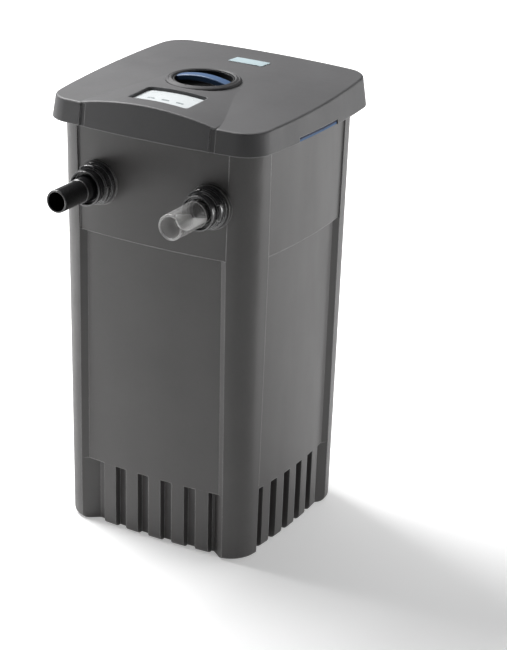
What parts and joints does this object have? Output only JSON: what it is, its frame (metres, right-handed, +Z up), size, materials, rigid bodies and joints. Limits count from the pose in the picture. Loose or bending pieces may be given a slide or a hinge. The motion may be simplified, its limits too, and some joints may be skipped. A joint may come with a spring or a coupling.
{
  "type": "pond canister filter",
  "caption": "Tall tapered pond filter tank with a domed lift-off lid, recessed rotary lock, display window, black inlet tail, clear sludge tail and rear outlet.",
  "frame": {"origin": "centre of the flat base, on the ground", "axes": "+X across the front to the sludge tail, -Y out of the front face, +Z up"},
  "size_m": [0.3752, 0.466, 0.6985],
  "materials": {
    "tank_plastic": "fine moulded grain, satin",
    "lid_plastic": "fine moulded grain, satin",
    "well_plastic": "satin",
    "black_fitting": "glossy moulded",
    "clear_fitting": "clear moulded",
    "insert_white": "satin, ribbed",
    "grip_blue": "satin",
    "latch_blue": "satin",
    "display_white": "semi-gloss",
    "lens_grey": "semi-gloss",
    "badge_silver": "satin",
    "seal_rubber": "matte",
    "grey_plastic": "moulded",
    "inner_blue": "moulded",
    "steel": "brushed",
    "quartz": "clear polished",
    "lamp_white": "glossy",
    "foam_blue": "open-cell foam",
    "foam_red": "open-cell foam",
    "board_green": "solder-mask"
  },
  "bodies": {
    "tank": {"tank_shell": "tank_plastic", "inlet_gasket": "seal_rubber", "inlet_flange": "black_fitting", "inlet_locknut": "black_fitting", "inlet_seal": "seal_rubber", "inlet_tail": "black_fitting", "sludge_gasket": "seal_rubber", "sludge_flange": "black_fitting", "sludge_locknut": "black_fitting", "sludge_seal": "seal_rubber", "sludge_tail": "clear_fitting", "sludge_insert": "insert_white", "outlet_spigot": "grey_plastic", "outlet_gasket": "seal_rubber", "outlet_locknut": "grey_plastic", "cable_gland": "black_fitting", "uvc_housing": "grey_plastic", "partition_plate": "grey_plastic", "sieve_frame": "inner_blue", "sieve_bars": "steel", "foam_grid": "grey_plastic", "grid_legs": "grey_plastic", "foam_cover": "inner_blue", "foam_blue_left": "foam_blue", "foam_blue_middle": "foam_blue", "foam_blue_right": "foam_blue", "foam_red_left": "foam_red", "foam_red_middle": "foam_red", "foam_red_right": "foam_red", "temperature_sensor": "steel", "pump_strainer": "grey_plastic", "pump_volute": "grey_plastic", "pump_motor": "grey_plastic", "pump_bearing": "steel", "pump_screws": "steel", "discharge_pipe": "grey_plastic"},
    "lid": {"lid_shell": "lid_plastic", "window_plate": "display_white", "indicator_lenses": "lens_grey", "badge": "badge_silver", "display_housing": "grey_plastic", "display_board": "board_green", "knob_well": "lid_plastic", "latch_guides": "grey_plastic", "guide_screws": "steel"},
    "lock_knob": {"knob_cup": "well_plastic", "knob_grip": "grip_blue", "knob_spindle": "grey_plastic", "lock_cam": "grey_plastic", "cam_nut": "steel"},
    "latch_left": {"latch_left": "latch_blue"},
    "latch_right": {"latch_right": "latch_blue"},
    "inlet_nut": {"inlet_union_nut": "black_fitting"},
    "sludge_nut": {"sludge_union_nut": "black_fitting"},
    "uvc_cap": {"uvc_head": "grey_plastic", "quartz_sleeve": "quartz", "uvc_lamp": "lamp_white", "sleeve_ring": "seal_rubber"},
    "impeller": {"pump_impeller": "inner_blue", "pump_shaft": "steel"}
  },
  "joints": [
    {"name": "lid_lift", "type": "slide", "parent": "tank", "child": "lid", "axis": [0, 0, 1], "range_m": [0, 0.12]},
    {"name": "knob_turn", "type": "hinge", "parent": "lid", "child": "lock_knob", "pos_m": [0, -0.02, 0.668], "axis": [0, 0, 1], "range_deg": [0, 90]},
    {"name": "latch_left_slide", "type": "slide", "parent": "lid", "child": "latch_left", "axis": [1, 0, 0], "range_m": [0, 0.01201]},
    {"name": "latch_right_slide", "type": "slide", "parent": "lid", "child": "latch_right", "axis": [-1, 0, 0], "range_m": [0, 0.01201]},
    {"name": "inlet_nut_spin", "type": "hinge", "parent": "tank", "child": "inlet_nut", "pos_m": [-0.089, -0.185, 0.556], "axis": [0, -1, 0], "continuous": true},
    {"name": "sludge_nut_spin", "type": "hinge", "parent": "tank", "child": "sludge_nut", "pos_m": [0.1, -0.185, 0.556], "axis": [0, -1, 0], "continuous": true},
    {"name": "uvc_cap_turn", "type": "hinge", "parent": "tank", "child": "uvc_cap", "pos_m": [-0.089, -0.098, 0.6], "axis": [0, 0, 1], "range_deg": [0, 30]},
    {"name": "impeller_spin", "type": "hinge", "parent": "tank", "child": "impeller", "pos_m": [0.05, -0.074, 0.025], "axis": [0, 0, 1], "continuous": true}
  ],
  "couplings": [
    {"joint": "latch_left_slide", "follows": "knob_turn", "m_per_rad": 0.0076394},
    {"joint": "latch_right_slide", "follows": "knob_turn", "m_per_rad": 0.0076394}
  ]
}
